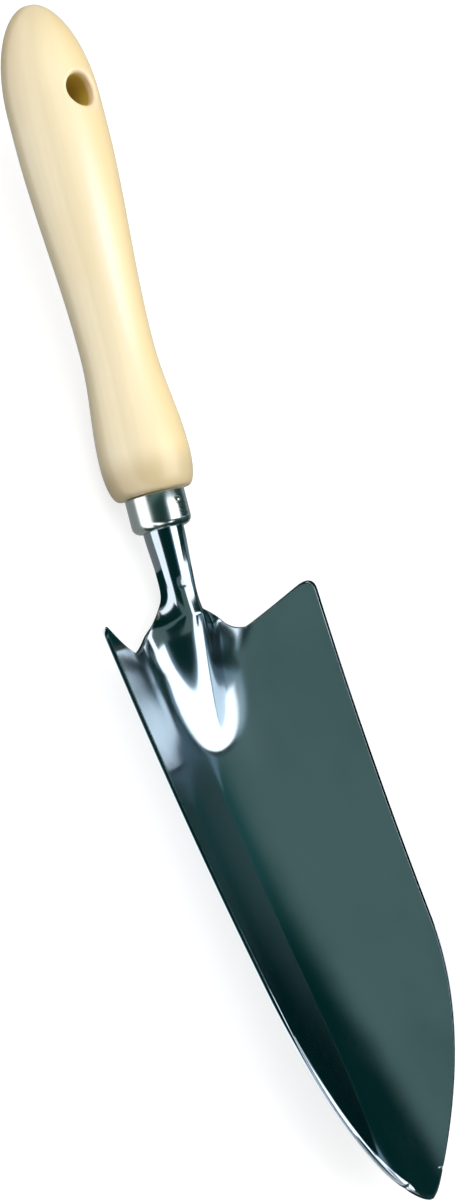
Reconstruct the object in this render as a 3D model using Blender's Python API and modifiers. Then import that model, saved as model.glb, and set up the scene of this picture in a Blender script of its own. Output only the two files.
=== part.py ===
"""Transplanting trowel: a turned wooden handle, a drawn ferrule and a pressed blade with a rolled neck.

Metres, +Z up. The pieces are modelled along the handle's axis: x runs from the butt towards the
blade's tip and is zero where the wood meets the ferrule, z points out of the hollow side of the
blade. The whole tool then hangs on one empty, which tips it on to the back of its blade, the way
it lies on a table.
"""
import math

import bmesh
import bpy
import numpy as np

MM = 0.001

# Clearance between pieces that touch, and how far a cutter runs past what it cuts.
CLEARANCE = 0.3 * MM
CUTTER_OVERSHOOT = 3.0 * MM

# Handle: two swells with a waist between them, stations measured back from the ferrule.
HANDLE_LENGTH = 140.0 * MM
DOME_LENGTH = 29.0 * MM
BUTT_FLAT_RADIUS = 3.0 * MM
BUTT_SWELL_RADIUS = 13.2 * MM
BUTT_SWELL_STATION = 104.0 * MM
WAIST_RADIUS = 10.35 * MM
WAIST_STATION = 41.0 * MM
FRONT_SWELL_RADIUS = 12.7 * MM
FRONT_SWELL_STATION = 10.0 * MM
FRONT_SHOULDER_RADIUS = 9.9 * MM

# Hanging hole across the handle, with rounded rims.
HOLE_RADIUS = 4.7 * MM
HOLE_STATION = 111.5 * MM
HOLE_RIM = 1.2 * MM

# Ferrule: a drawn cup over the wood's spigot, its closed end pierced for the neck.
FERRULE_RADIUS = 8.4 * MM
FERRULE_LENGTH = 10.3 * MM
FERRULE_WALL = 0.9 * MM
FERRULE_CORNER = 2.4 * MM
SPIGOT_CHAMFER = 0.85 * MM

# Ferrule pin: a small domed nail through the ferrule's wall into the wood.
PIN_STATION = 3.5 * MM
PIN_SHANK_RADIUS = 0.7 * MM
PIN_HEAD_RADIUS = 1.2 * MM
PIN_HEAD_HEIGHT = 0.5 * MM
PIN_BITE = 2.4 * MM
PIN_POINT_LENGTH = 1.0 * MM
PIN_POINT_RADIUS = 0.3 * MM

# Blade sheet and the neck that is rolled from it.
SHEET = 1.3 * MM
NECK_RADIUS = 5.75 * MM
NECK_WAIST_RADIUS = 5.1 * MM
NECK_WAIST_STATION = 23.0 * MM
SEAM_GAP = 0.8 * MM
NECK_SEAT = 4.5 * MM
FLARE_STATION = 20.0 * MM
FLARE_LENGTH = 21.0 * MM

# Dish of the blade: two sloping walls that meet in a rounded valley, which climbs and bows
# slightly upward towards the tip. The valley's line crosses the handle's axis at its station.
WALL_ANGLE = math.radians(43.5)
VALLEY_ROUNDING = 25.0 * MM
VALLEY_ANGLE = math.radians(12.9)
VALLEY_STATION = 74.8 * MM
VALLEY_BOW_RADIUS = 1090.0 * MM

# Blade outline: scooped shoulders, pointed corners, tapering sides and a rounded point.
TIP_STATION = 199.1 * MM
CORNER_STATION = 31.8 * MM
CORNER_HALF_WIDTH = 40.8 * MM
CORNER_ROUND = 4.5 * MM
SIDE_TAPER = 0.076
POINT_LENGTH = 66.7 * MM
POINT_POWER = 0.744
SHOULDER_LOW_STATION = 41.8 * MM
SHOULDER_LOW_HALF_WIDTH = 21.5 * MM
SHOULDER_ROOT_HALF_WIDTH = 9.0 * MM
SHOULDER_RISE_POWER = 1.1

# Ridge that carries the neck's round top down into the dish. Its crest keeps the neck's tight
# radius at a narrowing power of 1, and grows rounder towards its end with a lower one.
RIDGE_CREST_HEIGHT = 5.4 * MM
RIDGE_CREST_RADIUS = 5.4 * MM
RIDGE_NARROWING_POWER = 0.6
RIDGE_START = 35.0 * MM
RIDGE_END = 72.5 * MM
RIDGE_ROOT_HALF_WIDTH = 28.0 * MM
RIDGE_ROOT_LENGTH = 14.0 * MM
RIDGE_HALF_WIDTH = 21.0 * MM
RIDGE_END_LENGTH = 26.0 * MM
RIDGE_FOOT_BEYOND = 2.0 * MM
RIDGE_LEAST_FOOT = 0.1 * MM
RIDGE_LEAST_SHARE = 0.01

# Tang: a round bar held in the neck and driven into the wood.
TANG_RADIUS = 3.3 * MM
TANG_IN_WOOD = 60.0 * MM
TANG_IN_NECK = 21.0 * MM
TANG_POINT = 5.0 * MM
TANG_TIP_RADIUS = 1.9 * MM
TANG_CHAMFER = 0.5 * MM

# Density of each material, in kilograms per cubic metre, for the balance of the tool.
DENSITY = {"lacquered_wood": 700.0, "plated_steel": 7850.0, "polished_steel": 7850.0, "bright_bar": 7850.0}

# Mesh fineness.
TURNED_STEPS = 40
BORE_STEPS = 24
SMALL_STEPS = 16
NECK_ROWS = 3
TURN_ROWS = 11
RISE_ROWS = 7
CORNER_ROWS = 3
SIDE_ROWS = 28
HALF_COLUMNS = 19

# Layout of the blade's rows and columns: how far a row's middle runs ahead of its ends at the
# shoulder's lowest place and at the corner, how late its ends bend, which share of the columns
# lies over the ridge and how much closer together those stand.
MIDDLE_AHEAD_AT_LOW = 7.0 * MM
MIDDLE_AHEAD_AT_CORNER = 18.0 * MM
ROW_BEND = 1.45
LAST_ROW_BACK = 5.5 * MM
RIDGE_COLUMN_SHARE = 0.5
RIDGE_COLUMN_CLOSENESS = 0.75

# Rounds in which the resting angle settles.
SETTLING_ROUNDS = 20


def smooth_step(t):
    """Ease from 0 to 1 with level ends."""
    t = np.clip(t, 0.0, 1.0)
    return t * t * (3.0 - 2.0 * t)


def make_material(name, colour, roughness, metallic):
    material = bpy.data.materials.new(name)
    material.use_nodes = True
    shader = material.node_tree.nodes["Principled BSDF"]
    shader.inputs["Base Color"].default_value = (*colour, 1.0)
    shader.inputs["Roughness"].default_value = roughness
    shader.inputs["Metallic"].default_value = metallic
    return material


def make_object(name, mesh, collection, material=None):
    thing = bpy.data.objects.new(name, mesh)
    collection.objects.link(thing)
    if material:
        mesh.materials.append(material)
    return thing


def make_cutter(thing):
    thing.hide_render = True
    thing.display_type = "WIRE"
    return thing


def turned(name, profile, collection, material=None, steps=TURNED_STEPS):
    """Turn a profile of (station, radius) pairs, butt end first, about the handle's axis.

    The profile is drawn upright, with the butt on top, and the object is laid over so that its
    upright axis runs along the handle.
    """
    mesh = bpy.data.meshes.new(name)
    points = [(radius, 0.0, -station) for station, radius in profile]
    edges = [(i, i + 1) for i in range(len(points) - 1)]
    mesh.from_pydata(points, edges, [])
    thing = make_object(name, mesh, collection, material)
    thing.rotation_euler = (0.0, -math.pi / 2.0, 0.0)
    screw = thing.modifiers.new("turn", "SCREW")
    screw.axis = "Z"
    screw.angle = math.tau
    screw.steps = steps
    screw.render_steps = steps
    screw.use_merge_vertices = True
    screw.merge_threshold = 0.00001
    screw.use_smooth_shade = True
    return thing


def cut(thing, cutter, name):
    modifier = thing.modifiers.new(name, "BOOLEAN")
    modifier.operation = "DIFFERENCE"
    modifier.solver = "EXACT"
    modifier.object = cutter


def handle_radius(station):
    """Radius of the wood at a station measured back from the ferrule."""
    dome_start = HANDLE_LENGTH - DOME_LENGTH
    butt = min(BUTT_SWELL_STATION, dome_start)
    if station >= dome_start:
        reach = (station - dome_start) / DOME_LENGTH
        return BUTT_SWELL_RADIUS * math.sqrt(max(0.0, 1.0 - reach * reach))
    if station >= butt:
        return BUTT_SWELL_RADIUS
    if station >= WAIST_STATION:
        share = (station - WAIST_STATION) / (butt - WAIST_STATION)
        return WAIST_RADIUS + (BUTT_SWELL_RADIUS - WAIST_RADIUS) * (0.5 - 0.5 * math.cos(math.pi * share))
    if station >= FRONT_SWELL_STATION:
        share = (WAIST_STATION - station) / (WAIST_STATION - FRONT_SWELL_STATION)
        return WAIST_RADIUS + (FRONT_SWELL_RADIUS - WAIST_RADIUS) * (0.5 - 0.5 * math.cos(math.pi * share))
    reach = (FRONT_SWELL_STATION - station) / FRONT_SWELL_STATION
    drop = FRONT_SWELL_RADIUS - FRONT_SHOULDER_RADIUS
    return FRONT_SHOULDER_RADIUS + drop * math.sqrt(max(0.0, 1.0 - reach * reach))


def handle_profile():
    """Outside of the wood from butt to shoulder, its spigot, the neck's seat and the tang's bore."""
    dome_start = HANDLE_LENGTH - DOME_LENGTH
    flat_angle = math.asin(BUTT_FLAT_RADIUS / BUTT_SWELL_RADIUS)
    profile = [(-(dome_start + DOME_LENGTH * math.cos(flat_angle)), 0.0)]
    dome_rows = 9
    for i in range(dome_rows):
        angle = flat_angle + (math.pi / 2.0 - flat_angle) * i / dome_rows
        profile.append((-(dome_start + DOME_LENGTH * math.cos(angle)), BUTT_SWELL_RADIUS * math.sin(angle)))
    body_rows = 14
    for i in range(body_rows + 1):
        station = dome_start + (FRONT_SWELL_STATION - dome_start) * i / body_rows
        profile.append((-station, handle_radius(station)))
    shoulder_rows = 5
    for i in range(1, shoulder_rows + 1):
        angle = math.pi / 2.0 * i / shoulder_rows
        station = FRONT_SWELL_STATION * (1.0 - math.sin(angle))
        profile.append((-station, handle_radius(station)))
    spigot_radius = FERRULE_RADIUS - FERRULE_WALL - CLEARANCE
    spigot_end = FERRULE_LENGTH - FERRULE_WALL - CLEARANCE
    seat_radius = NECK_RADIUS + CLEARANCE
    seat_end = spigot_end - NECK_SEAT
    bore_radius = TANG_RADIUS + CLEARANCE
    bore_end = -TANG_IN_WOOD - CLEARANCE
    profile += [
        (0.0, spigot_radius),
        (spigot_end - SPIGOT_CHAMFER, spigot_radius),
        (spigot_end, spigot_radius - SPIGOT_CHAMFER),
        (spigot_end, seat_radius),
        (seat_end, seat_radius),
        (seat_end, bore_radius),
        (bore_end + TANG_POINT, bore_radius),
        (bore_end, TANG_TIP_RADIUS + CLEARANCE),
        (bore_end, 0.0),
    ]
    return profile


def hole_profile():
    """Cutter for the hanging hole: a straight bore that opens in a quarter round at each mouth."""
    surface = handle_radius(HOLE_STATION)
    far = surface + CUTTER_OVERSHOOT
    rows = 4
    mouth = []
    for i in range(rows + 1):
        angle = math.pi / 2.0 * i / rows
        height = surface - HOLE_RIM * math.sin(angle)
        mouth.append((height, HOLE_RADIUS + HOLE_RIM * (1.0 - math.cos(math.pi / 2.0 - angle))))
    flared = mouth[0][1]
    top = [(-far, 0.0), (-far, flared)]
    top += [(-height, radius) for height, radius in mouth]
    bottom = [(height, radius) for height, radius in reversed(mouth)]
    bottom += [(far, flared), (far, 0.0)]
    return top + bottom


def make_handle(collection, cutters, material):
    """The wood, with its hanging hole and the hole for the ferrule pin."""
    handle = turned("handle", handle_profile(), collection, material)
    hole = make_cutter(turned("hanging_hole_cutter", hole_profile(), cutters, steps=BORE_STEPS))
    hole.rotation_euler = (0.0, 0.0, 0.0)
    hole.location = (-HOLE_STATION, 0.0, 0.0)
    cut(handle, hole, "hanging_hole")
    shank = PIN_SHANK_RADIUS + CLEARANCE
    nail_hole = make_cutter(upright_cutter("handle_pin_cutter", shank, pin_tip() - CLEARANCE, cutters))
    cut(handle, nail_hole, "pin_hole")
    return handle


def pin_tip():
    """Height of the pin's point above the handle's axis."""
    return FERRULE_RADIUS - FERRULE_WALL - PIN_BITE


def upright_cutter(name, radius, bottom, cutters):
    """A cylinder at the pin's station that stands from a height up past the ferrule."""
    top = FERRULE_RADIUS + CUTTER_OVERSHOOT
    mesh = bpy.data.meshes.new(name)
    shape = bmesh.new()
    bmesh.ops.create_cone(shape, cap_ends=True, segments=SMALL_STEPS, radius1=radius,
                          radius2=radius, depth=top - bottom)
    shape.to_mesh(mesh)
    shape.free()
    thing = make_object(name, mesh, cutters)
    thing.location = (PIN_STATION, 0.0, (top + bottom) / 2.0)
    return thing


def ferrule_profile():
    """Outer wall, round outer corner, pierced end, then back up the inside with its own corner."""
    start = CLEARANCE
    inner = FERRULE_RADIUS - FERRULE_WALL
    hole = NECK_RADIUS + CLEARANCE
    inner_corner = FERRULE_CORNER - FERRULE_WALL
    rows = 5
    profile = [(start, inner), (start, FERRULE_RADIUS)]
    for i in range(rows + 1):
        angle = math.pi / 2.0 * i / rows
        station = FERRULE_LENGTH - FERRULE_CORNER * (1.0 - math.sin(angle))
        profile.append((station, FERRULE_RADIUS - FERRULE_CORNER * (1.0 - math.cos(angle))))
    profile.append((FERRULE_LENGTH, hole))
    profile.append((FERRULE_LENGTH - FERRULE_WALL, hole))
    for i in range(rows, -1, -1):
        angle = math.pi / 2.0 * i / rows
        station = FERRULE_LENGTH - FERRULE_WALL - inner_corner * (1.0 - math.sin(angle))
        profile.append((station, inner - inner_corner * (1.0 - math.cos(angle))))
    profile.append((start, inner))
    return profile


def make_ferrule(collection, cutters, material):
    """The drawn cup, with the hole that the pin goes through."""
    ferrule = turned("ferrule", ferrule_profile(), collection, material)
    bottom = FERRULE_RADIUS - FERRULE_WALL - CUTTER_OVERSHOOT
    cutter = upright_cutter("ferrule_pin_cutter", PIN_SHANK_RADIUS + CLEARANCE, bottom, cutters)
    cut(ferrule, make_cutter(cutter), "pin_hole")
    return ferrule


def make_pin(collection, material):
    """A nail with a domed head, standing on the ferrule over the hollow side of the blade."""
    head_seat = FERRULE_RADIUS + CLEARANCE
    rows = 4
    profile = [(-(head_seat + PIN_HEAD_HEIGHT), 0.0)]
    for i in range(1, rows + 1):
        angle = math.pi / 2.0 * i / rows
        profile.append((-(head_seat + PIN_HEAD_HEIGHT * math.cos(angle)), PIN_HEAD_RADIUS * math.sin(angle)))
    point = pin_tip()
    profile += [
        (-head_seat, PIN_SHANK_RADIUS),
        (-(point + PIN_POINT_LENGTH), PIN_SHANK_RADIUS),
        (-point, PIN_POINT_RADIUS),
        (-point, 0.0),
    ]
    pin = turned("ferrule_pin", profile, collection, material, steps=SMALL_STEPS)
    pin.rotation_euler = (0.0, 0.0, 0.0)
    pin.location = (PIN_STATION, 0.0, 0.0)
    return pin


def make_tang(collection, material):
    """A round bar that tapers at its end in the wood and is cut square inside the neck."""
    back = -TANG_IN_WOOD
    profile = [
        (back, 0.0),
        (back, TANG_TIP_RADIUS),
        (back + TANG_POINT, TANG_RADIUS),
        (TANG_IN_NECK - TANG_CHAMFER, TANG_RADIUS),
        (TANG_IN_NECK, TANG_RADIUS - TANG_CHAMFER),
        (TANG_IN_NECK, 0.0),
    ]
    return turned("tang", profile, collection, material, steps=BORE_STEPS)


def valley_height(x):
    """Height of the dish's lowest line, on its hollow face."""
    ahead = x - VALLEY_STATION
    return ahead * math.tan(VALLEY_ANGLE) + ahead ** 2 / (2.0 * VALLEY_BOW_RADIUS)


def dish_height(x, y):
    """Hollow face of the plain dish: a hyperbola across the blade that runs out to both walls."""
    wall = math.tan(WALL_ANGLE) * y
    return valley_height(x) + np.sqrt(VALLEY_ROUNDING ** 2 + wall ** 2) - VALLEY_ROUNDING


def ridge_height(x, y):
    """Extra height of the ridge: a round crest about as tight as the neck, with hollow flanks.

    The crest falls evenly to its end. The foot is widest at the shoulders and closes in an
    elliptical end, and the flanks run out level at the foot.
    """
    share = np.clip((x - RIDGE_START) / (RIDGE_END - RIDGE_START), 0.0, 1.0)
    top = RIDGE_CREST_HEIGHT - valley_height(RIDGE_START)
    crest = top * (1.0 - share)
    foot_end = RIDGE_END + RIDGE_FOOT_BEYOND
    into_end = np.clip((x - foot_end) / RIDGE_END_LENGTH + 1.0, 0.0, 1.0)
    root = 1.0 - smooth_step((x - RIDGE_START) / RIDGE_ROOT_LENGTH)
    foot = RIDGE_HALF_WIDTH * np.sqrt(1.0 - into_end ** 2) + RIDGE_LEAST_FOOT
    foot += (RIDGE_ROOT_HALF_WIDTH - RIDGE_HALF_WIDTH) * root
    left = np.maximum(1.0 - share, RIDGE_LEAST_SHARE)
    tightness = np.sqrt(2.0 * top * RIDGE_CREST_RADIUS * left ** RIDGE_NARROWING_POWER)
    across = np.minimum(np.abs(y) / foot, 1.0)
    return crest * (1.0 - across ** 2) ** 2 / (1.0 + (y / tightness) ** 2)


def side_half_width(x):
    """Half width of the blade: straight tapering sides that close in on a rounded point."""
    straight = CORNER_HALF_WIDTH - SIDE_TAPER * (x - CORNER_STATION)
    into_point = max(0.0, (x - (TIP_STATION - POINT_LENGTH)) / POINT_LENGTH)
    return straight * (1.0 - min(1.0, into_point) ** 2) ** POINT_POWER


def shoulder_turn(share):
    """Station and half width where the seam's edge turns out from the neck to the shoulder.

    This stretch is a quarter of an ellipse that leaves the neck lengthwise.
    """
    angle = math.pi / 2.0 * share
    x = FLARE_STATION + (SHOULDER_LOW_STATION - FLARE_STATION) * math.sin(angle)
    spread = (SHOULDER_LOW_HALF_WIDTH - SHOULDER_ROOT_HALF_WIDTH) * math.cos(angle)
    return x, SHOULDER_LOW_HALF_WIDTH - spread


def shoulder_rise(share):
    """Station and half width between the shoulder's lowest place and its sharp corner."""
    y = SHOULDER_LOW_HALF_WIDTH + (CORNER_HALF_WIDTH - SHOULDER_LOW_HALF_WIDTH) * share
    rise = (SHOULDER_LOW_STATION - CORNER_STATION) * share ** SHOULDER_RISE_POWER
    return SHOULDER_LOW_STATION - rise, y


def between(start, control, finish, share):
    """A point on the parabola that leaves start towards control and reaches finish from it."""
    rest = 1.0 - share
    return tuple(a * rest ** 2 + b * 2.0 * share * rest + c * share ** 2
                 for a, b, c in zip(start, control, finish))


def shoulder_rows():
    """Middle station and end point of each row whose end lies on the shoulder or its corner."""
    middle_at_low = SHOULDER_LOW_STATION + MIDDLE_AHEAD_AT_LOW
    middle_at_corner = SHOULDER_LOW_STATION + MIDDLE_AHEAD_AT_CORNER
    rows = []
    for i in range(TURN_ROWS):
        share = i / TURN_ROWS
        x, y = shoulder_turn(share)
        rows.append((x + MIDDLE_AHEAD_AT_LOW * share ** 2, x, y))
    rise_end = 1.0 - CORNER_ROUND / (CORNER_HALF_WIDTH - SHOULDER_LOW_HALF_WIDTH)
    for i in range(RISE_ROWS + 1):
        share = i / RISE_ROWS
        x, y = shoulder_rise(rise_end * share)
        rows.append((middle_at_low + (middle_at_corner - middle_at_low) * share, x, y))
    start = rows[-1][1:]
    side_x = CORNER_STATION + CORNER_ROUND
    finish = (side_x, side_half_width(side_x))
    for i in range(1, CORNER_ROWS + 1):
        share = i / (CORNER_ROWS + 1)
        x, y = between(start, (CORNER_STATION, CORNER_HALF_WIDTH), finish, share)
        rows.append((middle_at_corner + CORNER_ROUND / 2.0 * share, x, y))
    return rows


def side_rows():
    """Middle station and end point of each row whose end lies on the side or the point."""
    first_x = CORNER_STATION + CORNER_ROUND
    last_x = TIP_STATION - LAST_ROW_BACK
    first_ahead = SHOULDER_LOW_STATION + MIDDLE_AHEAD_AT_CORNER + CORNER_ROUND / 2.0 - first_x
    bunching = 1.25
    settled = 0.45
    rows = []
    for i in range(SIDE_ROWS + 1):
        share = i / SIDE_ROWS
        x = first_x + (last_x - first_x) * (1.0 - (1.0 - share) ** bunching)
        ahead = first_ahead * (1.0 - float(smooth_step(share / settled)))
        into_point = float(smooth_step((share - 1.0) / settled + 1.0))
        rows.append((x + ahead + LAST_ROW_BACK * into_point, x, side_half_width(x)))
    return rows


def spread_columns(half_width):
    """Places of the columns across a row: one share of them over the ridge, the rest over the wings."""
    across = np.linspace(-1.0, 1.0, 2 * HALF_COLUMNS + 1)
    size = np.abs(across)
    ridge_columns = np.minimum(size / RIDGE_COLUMN_SHARE, 1.0)
    wing_columns = np.clip((size - RIDGE_COLUMN_SHARE) / (1.0 - RIDGE_COLUMN_SHARE), 0.0, 1.0)
    inner = half_width * RIDGE_COLUMN_SHARE * RIDGE_COLUMN_CLOSENESS
    return across, np.sign(across) * (inner * ridge_columns + (half_width - inner) * wing_columns)


def neck_radius(x):
    """Outside radius of the rolled neck, which draws in from the ferrule to its waist."""
    start = FERRULE_LENGTH
    share = smooth_step((x - start) / (NECK_WAIST_STATION - start))
    return NECK_RADIUS - (NECK_RADIUS - NECK_WAIST_RADIUS) * float(share)


def blade_grid():
    """Points of the sheet's upper face: the neck's round outside and the blade's hollow inside.

    A row that is still neck lies on a circle, a row that is already blade lies on the dish with
    its ridge, and the rows between them move evenly from one to the other. Rows bend from their
    middle towards their ends, so that they end square on the shoulders and on the point.
    """
    neck_end = FERRULE_LENGTH - FERRULE_WALL - NECK_SEAT
    neck_rows = []
    for i in range(NECK_ROWS):
        x = neck_end + (FLARE_STATION - neck_end) * i / NECK_ROWS
        neck_rows.append((x, x, SHOULDER_ROOT_HALF_WIDTH))
    rows = neck_rows + shoulder_rows() + side_rows()
    grid = []
    for middle, end, half_width in rows:
        across, y = spread_columns(half_width)
        radius = neck_radius(middle)
        angle = across * (math.pi - SEAM_GAP / (2.0 * radius))
        rolled = np.stack([np.full_like(across, middle), radius * np.sin(angle), radius * np.cos(angle)], axis=1)
        x = middle + (end - middle) * np.abs(y / half_width) ** ROW_BEND
        pressed = np.stack([x, y, dish_height(x, y) + ridge_height(x, y)], axis=1)
        flat = float(smooth_step((middle - FLARE_STATION) / FLARE_LENGTH))
        grid.append(rolled + (pressed - rolled) * flat)
    return np.array(grid)


def make_blade(collection, material):
    """The sheet as one open grid that is given its thickness on the back."""
    grid = blade_grid()
    rows, columns = grid.shape[:2]
    index = np.arange(rows * columns).reshape(rows, columns)
    faces = np.stack([index[:-1, :-1], index[1:, :-1], index[1:, 1:], index[:-1, 1:]], axis=-1)
    mesh = bpy.data.meshes.new("blade")
    mesh.from_pydata(grid.reshape(-1, 3).tolist(), [], faces.reshape(-1, 4).tolist())
    mesh.shade_smooth()
    blade = make_object("blade", mesh, collection, material)
    wall = blade.modifiers.new("thickness", "SOLIDIFY")
    wall.thickness = SHEET
    wall.offset = -1.0
    wall.use_quality_normals = True
    return blade


def finished_triangles(collection):
    """Corners of every finished triangle, in the handle's frame, and each triangle's density."""
    graph = bpy.context.evaluated_depsgraph_get()
    corners = []
    densities = []
    for thing in collection.objects:
        if thing.type != "MESH":
            continue
        evaluated = thing.evaluated_get(graph)
        mesh = evaluated.to_mesh()
        mesh.calc_loop_triangles()
        points = np.empty(len(mesh.vertices) * 3)
        mesh.vertices.foreach_get("co", points)
        index = np.empty(len(mesh.loop_triangles) * 3, dtype=np.int64)
        mesh.loop_triangles.foreach_get("vertices", index)
        turn = np.array(thing.matrix_world.to_3x3())
        placed = points.reshape(-1, 3) @ turn.T + np.array(thing.matrix_world.translation)
        corners.append(placed[index].reshape(-1, 3, 3))
        densities.append(np.full(len(index) // 3, DENSITY[thing.data.materials[0].name]))
        evaluated.to_mesh_clear()
    return np.concatenate(corners), np.concatenate(densities)


def balance_point(corners, densities):
    """Centre of mass, from the pyramids that the triangles make with the frame's origin."""
    volume = np.einsum("ij,ij->i", corners[:, 0], np.cross(corners[:, 1], corners[:, 2])) / 6.0
    weight = volume * densities
    return (weight[:, None] * corners.sum(axis=1) / 4.0).sum(axis=0) / weight.sum()


def resting_tilt(points, balance):
    """Angle of the line under the tool that it comes to rest on.

    The line touches the tool from below on both sides of its balance point. The balance point
    moves along the line as the tool tips, so the search is repeated until the angle settles.
    """
    angle = 0.0
    for _ in range(SETTLING_ROUNDS):
        slope = math.tan(angle)
        foot = balance[0] + balance[2] * slope
        height = points[:, 2] - slope * points[:, 0]
        behind = points[:, 0] <= foot
        low_behind = points[behind][np.argmin(height[behind])]
        low_ahead = points[~behind][np.argmin(height[~behind])]
        step = low_ahead - low_behind
        angle = math.atan2(step[2], step[0])
    return angle


def rest_on_the_ground(empty, collection):
    """Tip the tool on to the back of its blade, its middle over the origin and its lowest place on z = 0."""
    bpy.context.view_layer.update()
    corners, densities = finished_triangles(collection)
    points = corners.reshape(-1, 3)
    angle = resting_tilt(points, balance_point(corners, densities))
    along = points[:, 0] * math.cos(angle) + points[:, 2] * math.sin(angle)
    above = points[:, 2] * math.cos(angle) - points[:, 0] * math.sin(angle)
    empty.rotation_euler = (0.0, angle, 0.0)
    empty.location = (-(along.min() + along.max()) / 2.0, 0.0, -above.min())


def main():
    for thing in list(bpy.data.objects):
        bpy.data.objects.remove(thing, do_unlink=True)
    trowel = bpy.data.collections.new("transplanting_trowel")
    cutters = bpy.data.collections.new("cutters")
    bpy.context.scene.collection.children.link(trowel)
    bpy.context.scene.collection.children.link(cutters)
    wood = make_material("lacquered_wood", (0.93, 0.80, 0.58), 0.32, 0.0)
    plated = make_material("plated_steel", (0.70, 0.72, 0.72), 0.12, 1.0)
    stainless = make_material("polished_steel", (0.62, 0.66, 0.66), 0.10, 1.0)
    bar = make_material("bright_bar", (0.55, 0.56, 0.56), 0.35, 1.0)
    make_handle(trowel, cutters, wood)
    make_ferrule(trowel, cutters, plated)
    make_pin(trowel, plated)
    make_tang(trowel, bar)
    make_blade(trowel, stainless)
    frame = bpy.data.objects.new("trowel_frame", None)
    trowel.objects.link(frame)
    rest_on_the_ground(frame, trowel)
    for thing in list(trowel.objects) + list(cutters.objects):
        if thing is not frame:
            thing.parent = frame


main()
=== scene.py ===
"""Looks of the transplanting trowel: lacquered handle, plated ferrule and mirror-bright pressed blade.

The pieces are worked out along the handle's axis, in metres: x runs from the butt to the blade's
tip and is zero where the wood meets the ferrule, z points out of the hollow side. to_world tips
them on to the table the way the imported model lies.
"""

import math

import bpy
import numpy as np
from mathutils import Matrix, Vector


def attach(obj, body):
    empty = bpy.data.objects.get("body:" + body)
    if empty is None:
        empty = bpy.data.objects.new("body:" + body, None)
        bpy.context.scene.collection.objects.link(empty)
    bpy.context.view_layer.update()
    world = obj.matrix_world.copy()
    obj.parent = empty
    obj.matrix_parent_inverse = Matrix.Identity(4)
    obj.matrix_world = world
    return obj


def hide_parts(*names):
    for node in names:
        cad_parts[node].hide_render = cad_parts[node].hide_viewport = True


MM = 0.001

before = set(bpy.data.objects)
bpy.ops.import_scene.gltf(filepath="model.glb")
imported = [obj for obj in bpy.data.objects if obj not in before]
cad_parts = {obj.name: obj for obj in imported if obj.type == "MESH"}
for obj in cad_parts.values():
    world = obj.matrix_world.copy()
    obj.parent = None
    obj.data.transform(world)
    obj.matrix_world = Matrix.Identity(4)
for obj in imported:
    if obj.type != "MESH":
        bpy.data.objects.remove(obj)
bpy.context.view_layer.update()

# How the tool lies: tipped about Y on to the back of its blade, then moved over the origin.
REST_TILT = math.radians(7.804)
REST_PLACE = (-31.99 * MM, 0.0, 11.508 * MM)

# Handle, with stations counted back from the ferrule
HANDLE_LENGTH = 140.0 * MM
DOME_LENGTH = 29.0 * MM
BUTT_FLAT_RADIUS = 3.0 * MM
BUTT_SWELL_RADIUS = 13.2 * MM
BUTT_SWELL_STATION = 104.0 * MM
WAIST_RADIUS = 10.35 * MM
WAIST_STATION = 41.0 * MM
FRONT_SWELL_RADIUS = 12.7 * MM
FRONT_SWELL_STATION = 10.0 * MM
FRONT_SHOULDER_RADIUS = 9.9 * MM
FRONT_EDGE_ROUND = 0.35 * MM
SPIGOT_RADIUS = 7.2 * MM
SPIGOT_LENGTH = 9.1 * MM
NECK_SEAT = 4.5 * MM
NECK_PLAY = 0.3 * MM
HOLE_RADIUS = 4.7 * MM
HOLE_STATION = 111.5 * MM
HOLE_LIP = 1.5 * MM
HOLE_LIP_DEPTH = 1.3 * MM

# Steps of the handle's turned grid, and half of the window in it that the hanging hole takes up
HANDLE_STEPS = 144
HALF_WINDOW_STEPS = 14
HALF_WINDOW_LENGTH = 9.0 * MM

# Ferrule and its pin
FERRULE_START = 0.3 * MM
FERRULE_RADIUS = 8.4 * MM
FERRULE_LENGTH = 10.3 * MM
FERRULE_WALL = 0.9 * MM
FERRULE_CORNER = 2.4 * MM
FERRULE_PLAY = 0.25 * MM
FERRULE_WALL_MIDDLE = 0.4 * FERRULE_LENGTH
FERRULE_LIP_LENGTH = 0.35 * MM
FERRULE_LIP_FLAT = 0.4 * MM
FERRULE_EASED_EDGE = 0.15 * MM
FERRULE_END_RING = 0.2 * MM
PIN_STATION = 3.5 * MM
PIN_HEAD_RADIUS = 1.2 * MM
PIN_HEAD_SEAT = FERRULE_RADIUS
PIN_HEAD_HEIGHT = 0.75 * MM
PIN_HEAD_SINK = 0.25 * MM
PIN_SHANK_SHARE = 0.6
PIN_SHANK_LENGTH = 2.0 * MM

# Blade and neck
SHEET = 1.3 * MM
NECK_END = 4.9 * MM
NECK_RADIUS = 5.75 * MM
NECK_WAIST_RADIUS = 5.1 * MM
NECK_WAIST_STATION = 23.0 * MM
SEAM_GAP = 0.8 * MM
FLARE_STATION = 20.0 * MM
FLARE_LENGTH = 21.0 * MM
WALL_ANGLE = math.radians(43.5)
VALLEY_ROUNDING = 25.0 * MM
VALLEY_ANGLE = math.radians(12.9)
VALLEY_STATION = 74.8 * MM
VALLEY_BOW_RADIUS = 1090.0 * MM
TIP_STATION = 199.1 * MM
CORNER_STATION = 31.8 * MM
CORNER_HALF_WIDTH = 40.8 * MM
CORNER_ROUND = 4.5 * MM
SIDE_TAPER = 0.076
POINT_LENGTH = 66.7 * MM
POINT_POWER = 0.744
SHOULDER_LOW_STATION = 41.8 * MM
SHOULDER_LOW_HALF_WIDTH = 21.5 * MM
SHOULDER_ROOT_HALF_WIDTH = 9.0 * MM
SHOULDER_RISE_POWER = 1.1
RIDGE_CREST_HEIGHT = 5.4 * MM
RIDGE_CREST_RADIUS = 5.4 * MM
RIDGE_NARROWING_POWER = 0.6
RIDGE_START = 35.0 * MM
RIDGE_END = 72.5 * MM
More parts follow.
